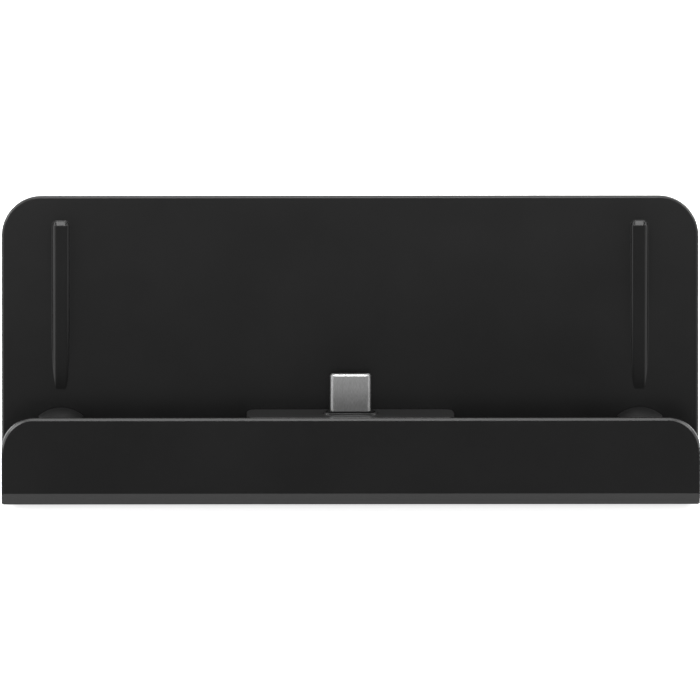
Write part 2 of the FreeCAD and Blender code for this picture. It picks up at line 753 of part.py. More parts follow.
def board(name, x, y, wide, deep, thick, low, holes, in_seat_frame=False):
    """Printed circuit board with rounded corners and screw holes."""
    body = new_body(name, in_seat_frame)
    sheet_outline = new_sketch(body, f"{name}_outline", at_height=low)
    rounded_rectangle(sheet_outline, x, y, wide, deep, "sizes.board_thick")
    pad(body, sheet_outline, thick)
    drilled = new_sketch(body, f"{name}_holes", at_height=f"{low} + {thick}")
    for hole_x, hole_y in holes:
        circle(drilled, hole_x, hole_y, "sizes.small_screw + 2 * sizes.screw_gap")
    pocket(body, drilled, thick)
    return body


def inlet_shell():
    """Steel shell of the power inlet, open to the rear."""
    body = new_body("inlet_shell")
    outside = new_sketch(body, "inlet_outside", "XZ_Plane", at_height=f"sizes.inlet_recess - {REAR}")
    capsule(outside, "0", "sizes.inlet_height", "sizes.inlet_width", "sizes.inlet_thick")
    pad(body, outside, "sizes.inlet_long")
    inside = new_sketch(body, "inlet_inside", "XZ_Plane", at_height=f"sizes.inlet_recess - {REAR}")
    less = "2 * sizes.plug_sheet"
    capsule(inside, "0", "sizes.inlet_height", f"sizes.inlet_width - {less}", f"sizes.inlet_thick - {less}")
    pocket(body, inside, "sizes.inlet_long", reverse=True)
    return body


INLET_BACK = f"({REAR} - sizes.inlet_recess - sizes.inlet_long)"


def inlet_tongue():
    """Moulded base of the power inlet with its tongue."""
    body = new_body("inlet_tongue")
    base = new_sketch(body, "tongue_base", "XZ_Plane", at_height=f"-{INLET_BACK}")
    less = "2 * (sizes.plug_sheet + sizes.fit_gap)"
    capsule(base, "0", "sizes.inlet_height", f"sizes.inlet_width - {less}", f"sizes.inlet_thick - {less}")
    pad(body, base, "sizes.tongue_base", reverse=True)
    tongue = new_sketch(body, "tongue_plate", "XZ_Plane", at_height=f"-{INLET_BACK}")
    thick = "sizes.tongue_thick"
    rounded_rectangle(tongue, "0", "sizes.inlet_height", "sizes.tongue_width", thick, f"{thick} / 4")
    pad(body, tongue, "sizes.tongue_base + sizes.tongue_long", reverse=True)
    return body


def inlet_contacts():
    """Flat contacts on both faces of the inlet's tongue."""
    long = "sizes.tongue_long - 2 * sizes.contact_thick"
    size = ("sizes.contact_width", long, "sizes.contact_thick")
    start = f"{INLET_BACK} + sizes.tongue_base"
    upper = "sizes.inlet_height + sizes.tongue_thick / 2"
    lower = "sizes.inlet_height - sizes.tongue_thick / 2 - sizes.contact_thick"
    members = [
        box(f"inlet_contact_{row}_{k}", size, (x, start, z))
        for row, z in (("upper", upper), ("lower", lower))
        for k, x in enumerate(CONTACT_X)
    ]
    return group("inlet_contacts", members)


CHIP_FRONT = "(sizes.main_post_y + sizes.chip_size / 2)"


def controller_chip():
    """Charge controller on the main board."""
    size = ("sizes.chip_size", "sizes.chip_size", "sizes.chip_high")
    chip = box("controller_chip", size, ("-sizes.chip_size / 2", CHIP_FRONT, MAIN_TOP))
    chip.Label = "controller_chip"
    return chip


def capacitors():
    """Row of ceramic capacitors, two to each side of the controller."""
    size = ("sizes.capacitor_long", "sizes.capacitor_wide", "sizes.capacitor_wide")
    half = "sizes.capacitor_long / 2"
    members = []
    for side in (-1, 1):
        for step in (0, 1):
            middle = f"{side} * (sizes.chip_size + {step} * sizes.capacitor_pitch + {half})"
            name = f"capacitor_{side_word(side)}_{step}"
            members.append(box(name, size, (f"{middle} - {half}", CHIP_FRONT, MAIN_TOP)))
    return group("capacitors", members)


def board_ribbon():
    """Flat ribbon from the underside of the plug board down, creased back onto the main board."""
    body = new_body("board_ribbon")
    profile = new_sketch(body, "ribbon_profile", "YZ_Plane")
    low = "(sizes.board_drop + sizes.board_thick)"
    end_y = f"{MAIN_REAR} - sizes.main_depth + sizes.ribbon_land"
    faces = []
    for back, level in (
        ("sizes.ribbon_back", MAIN_TOP),
        ("(sizes.ribbon_back + sizes.ribbon_thick)", f"({MAIN_TOP} + sizes.ribbon_thick)"),
    ):
        top_y = f"({PLUG_Y} + {back} * cos(sizes.tray_tilt) - {low} * sin(sizes.tray_tilt))"
        top_z = f"(sizes.seat_height - {back} * sin(sizes.tray_tilt) - {low} * cos(sizes.tray_tilt))"
        crease_y = f"{top_y} - ({top_z} - {level}) * tan(sizes.tray_tilt)"
        faces.append([(top_y, top_z), (crease_y, level), (end_y, level)])
    outline(profile, faces[0] + faces[1][::-1])
    pad(body, profile, "sizes.ribbon_width", midplane=True)
    return body


def rest_pad(name, x, y):
    """Soft pad with a wide bevel that the console stands on, stuck on a post of the trough."""
    body = new_body(name, in_seat_frame=True)
    disc = new_sketch(body, f"{name}_disc", at_height=PAD_LOW)
    circle(disc, x, y, "sizes.pad_radius")
    pad(body, disc, "sizes.pad_thick")
    chamfer(body, "sizes.pad_bevel", lambda b: near(b.ZMin, "sizes.pad_proud"))
    return body


def all_pieces():
    frame = seat_frame()
    pieces = [upper_shell(), bottom_cover()]
    pieces += [foot(name, x, y) for name, (x, y) in FEET.items()]
    head_z = "sizes.base_gap + sizes.screw_seat"
    cover = ("sizes.screw_head", "sizes.screw_head_high", "sizes.screw_radius", "sizes.screw_length")
    small = ("sizes.small_head", "sizes.small_head_high", "sizes.small_screw", "sizes.small_length")
    pieces.append(screws("cover_screws", COVER_SCREWS + STAND_SCREWS, *cover, head_z, 1))
    pieces += [plug_platform(), plug_shell(), plug_insulator(), plug_contacts(), plug_holder()]
    low = "-sizes.board_drop - sizes.board_thick"
    plug_size = ("sizes.plug_board_width", "sizes.plug_board_depth", "sizes.board_thick")
    pieces.append(board("plug_board", "0", "0", *plug_size, low, PLUG_POSTS, in_seat_frame=True))
    pieces.append(screws("plug_board_screws", PLUG_POSTS, *small, low, 1, frame))
    main_y = f"{MAIN_REAR} - sizes.main_depth / 2"
    main_size = ("sizes.main_width", "sizes.main_depth", "sizes.main_thick")
    pieces.append(board("main_board", "0", main_y, *main_size, "sizes.main_height", MAIN_POSTS))
    pieces.append(screws("main_board_screws", MAIN_POSTS, *small, MAIN_TOP, -1))
    pieces += [inlet_shell(), inlet_tongue(), inlet_contacts()]
    pieces += [controller_chip(), capacitors(), board_ribbon()]
    for side, (x, y) in zip((-1, 1), PADS):
        pieces.append(rest_pad(f"rest_pad_{side_word(side)}", x, y))
    return pieces


pieces = all_pieces()
doc.recompute()
for item in doc.Objects:
    if "Invalid" in item.State or "Error" in item.State:
        raise ValueError(f"{item.Name} failed: {item.State}")
for piece in pieces:
    if piece.Shape.isNull() or not piece.Shape.isValid():
        raise ValueError(f"{piece.Label} has no valid shape")

os.makedirs("parts", exist_ok=True)
for piece in pieces:
    piece.Shape.exportStep(f"parts/{piece.Label}.step")
    print(f"{piece.Label:20} {len(piece.Shape.Solids):3} solids {piece.Shape.Volume:10.1f} mm3")
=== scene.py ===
import json
import math

import bmesh
import bpy
from mathutils import Matrix, Quaternion, Vector


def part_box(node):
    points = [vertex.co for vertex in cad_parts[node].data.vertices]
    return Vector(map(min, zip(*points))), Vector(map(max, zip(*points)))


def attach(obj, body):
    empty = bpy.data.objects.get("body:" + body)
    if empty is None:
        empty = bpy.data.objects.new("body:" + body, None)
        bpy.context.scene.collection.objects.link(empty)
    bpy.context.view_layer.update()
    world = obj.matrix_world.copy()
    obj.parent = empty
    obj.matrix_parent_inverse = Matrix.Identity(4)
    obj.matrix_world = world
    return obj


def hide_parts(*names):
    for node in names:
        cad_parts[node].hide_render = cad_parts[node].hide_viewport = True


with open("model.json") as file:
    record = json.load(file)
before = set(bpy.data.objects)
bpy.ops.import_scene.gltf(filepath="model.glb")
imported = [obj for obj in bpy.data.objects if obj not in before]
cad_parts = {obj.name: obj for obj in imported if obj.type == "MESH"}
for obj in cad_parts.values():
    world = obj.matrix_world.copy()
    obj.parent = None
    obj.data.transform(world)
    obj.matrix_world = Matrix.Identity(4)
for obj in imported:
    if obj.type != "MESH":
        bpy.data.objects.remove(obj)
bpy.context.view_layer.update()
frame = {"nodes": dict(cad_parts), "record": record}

nodes = frame["nodes"]

# Upper shell: the dock's one large moulding, with the lip, the trough, the leaning plate and its ribs.
# It is injection-moulded black ABS with a fine spark-eroded grain, so it has a soft satin gloss.
# The lip's rim falls to the rear behind a narrow bevel, and its lower front edge has a wide flat one.


def linear(hex_colour):
    """Linear colour with full alpha from an sRGB hex value."""
    parts = [int(hex_colour[k:k + 2], 16) / 255 for k in (1, 3, 5)]
    return [p / 12.92 if p <= 0.04045 else ((p + 0.055) / 1.055) ** 2.4 for p in parts] + [1.0]


def add_node(material, kind, settings=None, links=None):
    """Add a node; settings are its properties and sockets, links are socket: (node, output)."""
    node = material.node_tree.nodes.new(kind)
    for name, value in (settings or {}).items():
        if name in node.inputs:
            node.inputs[name].default_value = value
        else:
            setattr(node, name, value)
    for name, (source, output) in (links or {}).items():
        material.node_tree.links.new(source.outputs[output], node.inputs[name])
    return node


def start_material(name):
    """Empty node material, with its Object coordinates."""
    material = bpy.data.materials.new(name)
    material.use_nodes = True
    material.node_tree.nodes.clear()
    return material, add_node(material, "ShaderNodeTexCoord")


def finish_material(material, shader):
    add_node(material, "ShaderNodeOutputMaterial", links={"Surface": (shader, 0)})
    return material


def dress(names, material):
    """Give CAD pieces a material through their own slots."""
    for name in names:
        for slot in nodes[name].material_slots:
            slot.material = material


def ramp_colours(ramp, stops):
    """Set a colour ramp's two ends from (position, hex) pairs."""
    for element, (position, hex_colour) in zip(ramp.color_ramp.elements, stops):
        element.position = position
        element.color = linear(hex_colour)


# The grain's pits are about 0.1 mm apart on the real moulding, which is too fine to show.
# They are drawn 0.35 mm apart. Handling leaves patches that differ a little in gloss.
SHELL_GRAIN = 0.00035
HANDLING_PATCH = 0.018
SHELL_PIT_DEPTH = 0.00003
SHELL_RIM_RADIUS = 0.0003
RIM_SAMPLES = 8
satin_abs, place = start_material("satin_black_abs")
grain = add_node(satin_abs, "ShaderNodeTexNoise", {"Scale": 1 / SHELL_GRAIN, "Detail": 3.0},
                 {"Vector": (place, "Object")})
handling = add_node(satin_abs, "ShaderNodeTexNoise", {"Scale": 1 / HANDLING_PATCH, "Detail": 4.0},
                    {"Vector": (place, "Object")})
tint = add_node(satin_abs, "ShaderNodeValToRGB", links={"Fac": (handling, "Fac")})
ramp_colours(tint, [(0.3, "#0c0c0c"), (0.7, "#101010")])
gloss = add_node(satin_abs, "ShaderNodeMapRange", {"To Min": 0.2, "To Max": 0.28},
                 {"Value": (handling, "Fac")})
rim = add_node(satin_abs, "ShaderNodeBevel", {"samples": RIM_SAMPLES, "Radius": SHELL_RIM_RADIUS})
pits = add_node(satin_abs, "ShaderNodeBump", {"Strength": 0.12, "Distance": SHELL_PIT_DEPTH},
                {"Height": (grain, "Fac"), "Normal": (rim, "Normal")})
finish_material(satin_abs, add_node(
    satin_abs, "ShaderNodeBsdfPrincipled", {"IOR": 1.5, "Specular IOR Level": 0.13},
    {"Base Color": (tint, "Color"), "Roughness": (gloss, "Result"), "Normal": (pits, "Normal")}))

# The lip's front edge is raised in proportion above where its corners begin to turn, and the ribs' upper
# ends are pushed up along the leaning plate, their front slopes a little more than the rest.
FRONT_BEVEL = 0.0036
LIP_CORNER_LOW = 0.0132
LIP_STRETCH = 1.085
RIM_FRONT = 0.0005
RIM_DEEPER = 0.00025
RIB_REACH = 0.0581
RIB_HALF_WIDTH = 0.0019
CAP_LOW = 0.0498
CAP_HIGH = 0.052
CAP_EDGE = 0.05055
CAP_FRONT = 0.0015
CAP_RISE = 0.00053
CAP_SLOPE_RISE = 0.0003
PLATE_LEAN = math.radians(15.0)
EXACT = 1e-6
CUT_EXACT = 1e-7
plate_up = Vector((0.0, math.sin(PLATE_LEAN), math.cos(PLATE_LEAN)))
shell_low = Vector(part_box("upper_shell")[0])
shape = bmesh.new()
shape.from_mesh(nodes["upper_shell"].data)
bmesh.ops.remove_doubles(shape, verts=shape.verts, dist=EXACT)
lip_rim = [vert for vert in shape.verts
           if vert.co.y < shell_low.y + RIM_FRONT and vert.co.z > LIP_CORNER_LOW + EXACT]
bmesh.ops.scale(shape, verts=lip_rim, vec=(1.0, 1.0, LIP_STRETCH),
                space=Matrix.Translation((0.0, 0.0, -LIP_CORNER_LOW)))
bmesh.ops.translate(shape, verts=[vert for vert in lip_rim if vert.co.y > shell_low.y + EXACT],
                    vec=(0.0, RIM_DEEPER, 0.0))
rib_caps = [vert for vert in shape.verts
            if abs(abs(vert.co.x) - RIB_REACH) < RIB_HALF_WIDTH and CAP_LOW < vert.co.z < CAP_HIGH]
cap_brows = [vert for vert in rib_caps if vert.co.z > CAP_EDGE and vert.co.y < CAP_FRONT]
bmesh.ops.translate(shape, verts=rib_caps, vec=plate_up * CAP_RISE)
bmesh.ops.translate(shape, verts=cap_brows, vec=plate_up * CAP_SLOPE_RISE)
bevel_cut = bmesh.ops.bisect_plane(
    shape, geom=shape.verts[:] + shape.edges[:] + shape.faces[:], dist=CUT_EXACT, clear_outer=True,
    plane_co=shell_low + Vector((0.0, FRONT_BEVEL, 0.0)), plane_no=(0.0, -1.0, -1.0))
bevel_rim = [item for item in bevel_cut["geom_cut"] if isinstance(item, bmesh.types.BMEdge)]
bmesh.ops.holes_fill(shape, edges=bevel_rim)
shell_mesh = bpy.data.meshes.new("bevelled_shell")
shape.to_mesh(shell_mesh)
shape.free()
shell_mesh.shade_flat()
shell_mesh.materials.clear()
shell_mesh.materials.append(satin_abs)
shell = bpy.data.objects.new("bevelled_shell", shell_mesh)
bpy.context.scene.collection.objects.link(shell)
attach(shell, "root")
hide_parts("upper_shell")

# Plug platform: a separate moulded block round the plug, which stands on the trough's floor.
# It is the same black ABS with a finer grain, and two screws hold it from below.
PLATFORM_GRAIN = 0.0003
PLATFORM_PIT_DEPTH = 0.00002
PLATFORM_RIM_RADIUS = 0.0002
platform_abs, place = start_material("platform_black_abs")
grain = add_node(platform_abs, "ShaderNodeTexNoise", {"Scale": 1 / PLATFORM_GRAIN, "Detail": 2.0},
                 {"Vector": (place, "Object")})
gloss = add_node(platform_abs, "ShaderNodeMapRange", {"To Min": 0.28, "To Max": 0.38},
                 {"Value": (grain, "Fac")})
rim = add_node(platform_abs, "ShaderNodeBevel", {"samples": RIM_SAMPLES, "Radius": PLATFORM_RIM_RADIUS})
pits = add_node(platform_abs, "ShaderNodeBump", {"Strength": 0.1, "Distance": PLATFORM_PIT_DEPTH},
                {"Height": (grain, "Fac"), "Normal": (rim, "Normal")})
finish_material(platform_abs, add_node(
    platform_abs, "ShaderNodeBsdfPrincipled",
    {"Base Color": linear("#121212"), "IOR": 1.5, "Specular IOR Level": 0.26},
    {"Roughness": (gloss, "Result"), "Normal": (pits, "Normal")}))
dress(["plug_platform"], platform_abs)

# Rest pads: two soft silicone pads stuck on posts of the trough, under the ribs.
# The console's lower edge stands on them, so they are matt and a little dusty.
# Each is a low dome on a short straight side, square to the plug.
DUST_SPECK = 0.0012
DUST_DEPTH = 0.00003
silicone, place = start_material("black_silicone_pad")
dust = add_node(silicone, "ShaderNodeTexNoise", {"Scale": 1 / DUST_SPECK, "Detail": 5.0},
                {"Vector": (place, "Object")})
tint = add_node(silicone, "ShaderNodeValToRGB", links={"Fac": (dust, "Fac")})
ramp_colours(tint, [(0.35, "#050505"), (0.8, "#090909")])
pits = add_node(silicone, "ShaderNodeBump", {"Strength": 0.2, "Distance": DUST_DEPTH},
                {"Height": (dust, "Fac")})
finish_material(silicone, add_node(
    silicone, "ShaderNodeBsdfPrincipled", {"Roughness": 0.55, "IOR": 1.41, "Specular IOR Level": 0.12},
    {"Base Color": (tint, "Color"), "Normal": (pits, "Normal")}))
PAD_THICK = 0.0022
PAD_SIDE = 0.0006
ROUND_SEGMENTS = 64
CROWN_RINGS = 96
plug_mount = [mount for mount in frame["record"]["mounts"] if mount["name"] == "charging_plug"][0]
seat_turn = Vector((0.0, 0.0, 1.0)).rotation_difference(Vector(plug_mount["axis"])).to_matrix().to_4x4()
for hand in ("left", "right"):
    low, high = (Vector(corner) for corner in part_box(f"rest_pad_{hand}"))
    radius = (high.x - low.x) / 2
    shape = bmesh.new()
    crown_high = PAD_THICK - PAD_SIDE
    crown_radius = (radius ** 2 + crown_high ** 2) / (2 * crown_high)
    bmesh.ops.create_uvsphere(shape, u_segments=ROUND_SEGMENTS, v_segments=CROWN_RINGS, radius=crown_radius)
    bmesh.ops.translate(shape, verts=shape.verts, vec=(0.0, 0.0, PAD_THICK / 2 - crown_radius))
    sphere = shape.verts[:] + shape.edges[:] + shape.faces[:]
    cut = bmesh.ops.bisect_plane(shape, geom=sphere, clear_inner=True, plane_no=(0.0, 0.0, 1.0),
                                 plane_co=(0.0, 0.0, PAD_SIDE - PAD_THICK / 2))
    hem = [item for item in cut["geom_cut"] if isinstance(item, bmesh.types.BMEdge)]
    side = bmesh.ops.extrude_edge_only(shape, edges=hem)["geom"]
    bmesh.ops.translate(shape, verts=[item for item in side if isinstance(item, bmesh.types.BMVert)],
                        vec=(0.0, 0.0, -PAD_SIDE))
    bmesh.ops.holes_fill(shape, edges=[item for item in side if isinstance(item, bmesh.types.BMEdge)])
    bmesh.ops.recalc_face_normals(shape, faces=shape.faces)
    bmesh.ops.transform(shape, matrix=Matrix.Translation((low + high) / 2) @ seat_turn, verts=shape.verts)
    pad_mesh = bpy.data.meshes.new(f"silicone_pad_{hand}")
    shape.to_mesh(pad_mesh)
    shape.free()
    pad_mesh.shade_smooth()
    pad_mesh.materials.append(silicone)
    pad = bpy.data.objects.new(f"silicone_pad_{hand}", pad_mesh)
    bpy.context.scene.collection.objects.link(pad)
    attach(pad, "root")
    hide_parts(f"rest_pad_{hand}")

# USB-C plug: a deep-drawn stainless steel shell around a black moulded core with plated contacts.
# Drawing leaves faint lines along the shell, which spread its highlights across.
LINE_PITCH = 0.00012
LINE_LENGTH = 0.004
LINE_DEPTH = 0.00001
drawn_steel, place = start_material("drawn_stainless_steel")
along = add_node(drawn_steel, "ShaderNodeMapping",
                 {"Scale": (1 / LINE_PITCH, 1 / LINE_PITCH, 1 / LINE_LENGTH)},
                 {"Vector": (place, "Object")})
lines = add_node(drawn_steel, "ShaderNodeTexNoise", {"Scale": 1.0, "Detail": 3.0},
                 {"Vector": (along, "Vector")})
tint = add_node(drawn_steel, "ShaderNodeValToRGB", links={"Fac": (lines, "Fac")})
ramp_colours(tint, [(0.3, "#808080"), (0.7, "#919191")])
gloss = add_node(drawn_steel, "ShaderNodeMapRange", {"To Min": 0.3, "To Max": 0.44},
                 {"Value": (lines, "Fac")})
scratch = add_node(drawn_steel, "ShaderNodeBump", {"Strength": 0.15, "Distance": LINE_DEPTH},
                   {"Height": (lines, "Fac")})
finish_material(drawn_steel, add_node(
    drawn_steel, "ShaderNodeBsdfPrincipled", {"Metallic": 1.0},
    {"Base Color": (tint, "Color"), "Roughness": (gloss, "Result"), "Normal": (scratch, "Normal")}))
dress(["plug_shell", "inlet_shell"], drawn_steel)

# Plug sleeve: a soft silicone ring in the platform's slot, which closes the gap round the plug.
# It is moulded in one piece, stands a little over the platform, and is held by the slot.
SLEEVE_RADIUS = 0.0019
SLEEVE_BORE = 0.00125
SLEEVE_REACH = 0.002945
SLEEVE_DEEP = 0.0013
SLEEVE_PROUD = 0.0006
PLUG_HIGH = 0.008
seat_middle = Vector(plug_mount["pos_m"]) - PLUG_HIGH * Vector(plug_mount["axis"])
shape = bmesh.new()
for radius in (SLEEVE_RADIUS, SLEEVE_BORE):
    ring = bmesh.ops.create_circle(shape, segments=ROUND_SEGMENTS, radius=radius)["verts"]
    for side in (-1, 1):
        bmesh.ops.translate(shape, verts=[vert for vert in ring if vert.co.x * side > EXACT],
                            vec=(side * SLEEVE_REACH, 0.0, -SLEEVE_DEEP))
    bmesh.ops.translate(shape, verts=[vert for vert in ring if abs(vert.co.x) <= EXACT],
                        vec=(0.0, 0.0, -SLEEVE_DEEP))
sleeve_base = bmesh.ops.bridge_loops(shape, edges=shape.edges[:])["faces"]
sleeve_top = bmesh.ops.extrude_face_region(shape, geom=sleeve_base)["geom"]
bmesh.ops.translate(shape, verts=[item for item in sleeve_top if isinstance(item, bmesh.types.BMVert)],
                    vec=(0.0, 0.0, SLEEVE_DEEP + SLEEVE_PROUD))
bmesh.ops.recalc_face_normals(shape, faces=shape.faces)
bmesh.ops.transform(shape, matrix=Matrix.Translation(seat_middle) @ seat_turn, verts=shape.verts)
sleeve_mesh = bpy.data.meshes.new("plug_sleeve")
shape.to_mesh(sleeve_mesh)
shape.free()
sleeve_mesh.materials.append(silicone)
sleeve = bpy.data.objects.new("plug_sleeve", sleeve_mesh)
bpy.context.scene.collection.objects.link(sleeve)
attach(sleeve, "root")

# Plug core, inlet tongue and plug holder: the insulators that carry the contacts, moulded matt black.
# They are glass-filled liquid-crystal polymer, whose fibres show as faint streaks.
FIBRE_STREAK = 0.0004
core_lcp, place = start_material("black_glass_filled_lcp")
fibres = add_node(core_lcp, "ShaderNodeTexNoise",
                  {"Scale": 1 / FIBRE_STREAK, "Detail": 2.0, "Distortion": 1.5},
                  {"Vector": (place, "Object")})
tint = add_node(core_lcp, "ShaderNodeValToRGB", links={"Fac": (fibres, "Fac")})
ramp_colours(tint, [(0.35, "#101011"), (0.75, "#1a1a1b")])
finish_material(core_lcp, add_node(
    core_lcp, "ShaderNodeBsdfPrincipled", {"Roughness": 0.55, "IOR": 1.6, "Specular IOR Level": 0.35},
    {"Base Color": (tint, "Color")}))
dress(["plug_insulator", "plug_holder", "inlet_tongue"], core_lcp)

# Contacts of the plug and the inlet: stamped copper alloy strips with a thin gold plating.
# They lie in the insulators, and plugging in has wiped the gold to an uneven gloss.
WIPE_MARK = 0.0003
gold_plate, place = start_material("gold_plated_contact")
wiped = add_node(gold_plate, "ShaderNodeTexNoise", {"Scale": 1 / WIPE_MARK, "Detail": 2.0},
                 {"Vector": (place, "Object")})
gloss = add_node(gold_plate, "ShaderNodeMapRange", {"To Min": 0.18, "To Max": 0.32},
                 {"Value": (wiped, "Fac")})
finish_material(gold_plate, add_node(
    gold_plate, "ShaderNodeBsdfPrincipled", {"Base Color": linear("#d8b368"), "Metallic": 1.0},
    {"Roughness": (gloss, "Result")}))
dress(["plug_contacts", "inlet_contacts"], gold_plate)

# Circuit boards: glass laminate under green solder mask, with the copper's edges showing through it.
# The small one carries the plug and the large one the charging parts, and each is screwed to posts.
TRACK_PITCH = 0.004
TRACK_HEIGHT = 0.00003
solder_mask, place = start_material("green_solder_mask")
tracks = add_node(solder_mask, "ShaderNodeTexBrick",
                  {"Scale": 1 / TRACK_PITCH, "Mortar Size": 0.06, "Color1": linear("#0d4a2a"),
                   "Color2": linear("#10502f"), "Mortar": linear("#0a3a20")},
                  {"Vector": (place, "Object")})
raised = add_node(solder_mask, "ShaderNodeBump", {"Strength": 0.3, "Distance": TRACK_HEIGHT},
                  {"Height": (tracks, "Fac")})
finish_material(solder_mask, add_node(
    solder_mask, "ShaderNodeBsdfPrincipled", {"Roughness": 0.28, "IOR": 1.5},
    {"Base Color": (tracks, "Color"), "Normal": (raised, "Normal")}))
dress(["plug_board", "main_board"], solder_mask)

# Charge controller: the chip on the large board that sets the charging current.
# Its package is black epoxy, matt and speckled from its mould, and it is soldered flat on the board.
EPOXY_SPECKLE = 0.0003
epoxy, place = start_material("black_epoxy_package")
speckle = add_node(epoxy, "ShaderNodeTexNoise", {"Scale": 1 / EPOXY_SPECKLE, "Detail": 2.0},
                   {"Vector": (place, "Object")})
tint = add_node(epoxy, "ShaderNodeValToRGB", links={"Fac": (speckle, "Fac")})
ramp_colours(tint, [(0.3, "#17171a"), (0.7, "#212124")])
finish_material(epoxy, add_node(
    epoxy, "ShaderNodeBsdfPrincipled", {"Roughness": 0.6, "IOR": 1.55},
    {"Base Color": (tint, "Color")}))
dress(["controller_chip"], epoxy)

# Capacitors: small blocks that smooth the charging current, soldered in a row beside the controller.
# They are fired tan ceramic, and the firing leaves its colour a little uneven.
FIRING_PATCH = 0.0006
ceramic, place = start_material("tan_fired_ceramic")
firing = add_node(ceramic, "ShaderNodeTexNoise", {"Scale": 1 / FIRING_PATCH, "Detail": 3.0},
                  {"Vector": (place, "Object")})
tint = add_node(ceramic, "ShaderNodeValToRGB", links={"Fac": (firing, "Fac")})
ramp_colours(tint, [(0.3, "#8c6a44"), (0.7, "#a07c52")])
finish_material(ceramic, add_node(
    ceramic, "ShaderNodeBsdfPrincipled", {"Roughness": 0.45, "IOR": 1.6},
    {"Base Color": (tint, "Color")}))
dress(["capacitors"], ceramic)

# Ribbon between the boards: amber polyimide film with copper tracks that run along it.
# Its two ends are soldered to the boards.
TRACK_BAND = 0.006
polyimide, place = start_material("amber_polyimide_film")
across = add_node(polyimide, "ShaderNodeTexWave", {"Scale": 1 / TRACK_BAND, "bands_direction": "X"},
                  {"Vector": (place, "Object")})
tint = add_node(polyimide, "ShaderNodeValToRGB", links={"Fac": (across, "Fac")})
ramp_colours(tint, [(0.45, "#9a5a1a"), (0.6, "#b8762c")])
finish_material(polyimide, add_node(
    polyimide, "ShaderNodeBsdfPrincipled", {"Roughness": 0.25, "IOR": 1.7},
    {"Base Color": (tint, "Color")}))
dress(["board_ribbon"], polyimide)

# Bottom cover: a flat black ABS moulding that closes the rear housing, screwed in from below.
# It has a coarse grain that hides scuffs.
COVER_GRAIN = 0.0007
COVER_PIT_DEPTH = 0.00008
SCUFF_PATCH = 0.02
cover_abs, place = start_material("grained_black_abs")
grain = add_node(cover_abs, "ShaderNodeTexVoronoi", {"Scale": 1 / COVER_GRAIN},
                 {"Vector": (place, "Object")})
scuffs = add_node(cover_abs, "ShaderNodeTexNoise", {"Scale": 1 / SCUFF_PATCH, "Detail": 5.0},
                  {"Vector": (place, "Object")})
tint = add_node(cover_abs, "ShaderNodeValToRGB", links={"Fac": (scuffs, "Fac")})
ramp_colours(tint, [(0.35, "#111112"), (0.75, "#18181a")])
pits = add_node(cover_abs, "ShaderNodeBump", {"Strength": 0.35, "Distance": COVER_PIT_DEPTH},
                {"Height": (grain, "Distance")})
finish_material(cover_abs, add_node(
    cover_abs, "ShaderNodeBsdfPrincipled", {"Roughness": 0.58, "IOR": 1.5, "Specular IOR Level": 0.35},
    {"Base Color": (tint, "Color"), "Normal": (pits, "Normal")}))
dress(["bottom_cover"], cover_abs)

# Feet: four die-cut rubber discs that carry the dock.
# Two are stuck into seats under the trough and two into seats in the cover.
CRUMB_SIZE = 0.0008
CRUMB_DEPTH = 0.00005
foot_rubber, place = start_material("black_foot_rubber")
crumb = add_node(foot_rubber, "ShaderNodeTexNoise", {"Scale": 1 / CRUMB_SIZE, "Detail": 5.0},
                 {"Vector": (place, "Object")})
tint = add_node(foot_rubber, "ShaderNodeValToRGB", links={"Fac": (crumb, "Fac")})
ramp_colours(tint, [(0.35, "#19191a"), (0.75, "#232324")])
pits = add_node(foot_rubber, "ShaderNodeBump", {"Strength": 0.3, "Distance": CRUMB_DEPTH},
                {"Height": (crumb, "Fac")})
finish_material(foot_rubber, add_node(
    foot_rubber, "ShaderNodeBsdfPrincipled", {"Roughness": 0.8, "IOR": 1.52, "Specular IOR Level": 0.3},
    {"Base Color": (tint, "Color"), "Normal": (pits, "Normal")}))
dress(["foot_front_left", "foot_front_right", "foot_rear_left", "foot_rear_right"], foot_rubber)

# Screws: zinc-plated steel with pan heads, turned in from below or into the boards' posts.
# Four hold the cover, two the plug platform, and two each of the boards.
# The six that show from below have a cross pressed into the head.
ZINC_MOTTLE = 0.0005
zinc, place = start_material("zinc_plated_steel")
mottle = add_node(zinc, "ShaderNodeTexNoise", {"Scale": 1 / ZINC_MOTTLE, "Detail": 4.0},
                  {"Vector": (place, "Object")})
tint = add_node(zinc, "ShaderNodeValToRGB", links={"Fac": (mottle, "Fac")})
ramp_colours(tint, [(0.3, "#8e9092"), (0.7, "#a9abad")])
gloss = add_node(zinc, "ShaderNodeMapRange", {"To Min": 0.28, "To Max": 0.45},
                 {"Value": (mottle, "Fac")})
finish_material(zinc, add_node(
    zinc, "ShaderNodeBsdfPrincipled", {"Metallic": 1.0},
    {"Base Color": (tint, "Color"), "Roughness": (gloss, "Result")}))
dress(["plug_board_screws", "main_board_screws"], zinc)
SCREW_PLACES = [(-0.046, 0.0), (0.046, 0.0), (-0.046, 0.014), (0.046, 0.014),
                (-0.0176, -0.0164), (0.0176, -0.0164)]
HEAD_RADIUS = 0.0022
CROSS_REACH = 0.0013
CROSS_HALF_WIDTH = 0.00035
CROSS_DEEP = 0.0007
head_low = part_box("cover_screws")[0][2]
shape = bmesh.new()
shape.from_mesh(nodes["cover_screws"].data)
bmesh.ops.remove_doubles(shape, verts=shape.verts, dist=EXACT)


def head_faces(middle, reach_x, reach_y):
    """Faces under a screw's head whose middles lie within a reach of the screw's own."""
    found = []
    for face in shape.faces:
        away = face.calc_center_median() - middle
        if abs(away.z) < EXACT and abs(away.x) < reach_x and abs(away.y) < reach_y:
            found.append(face)
    return found


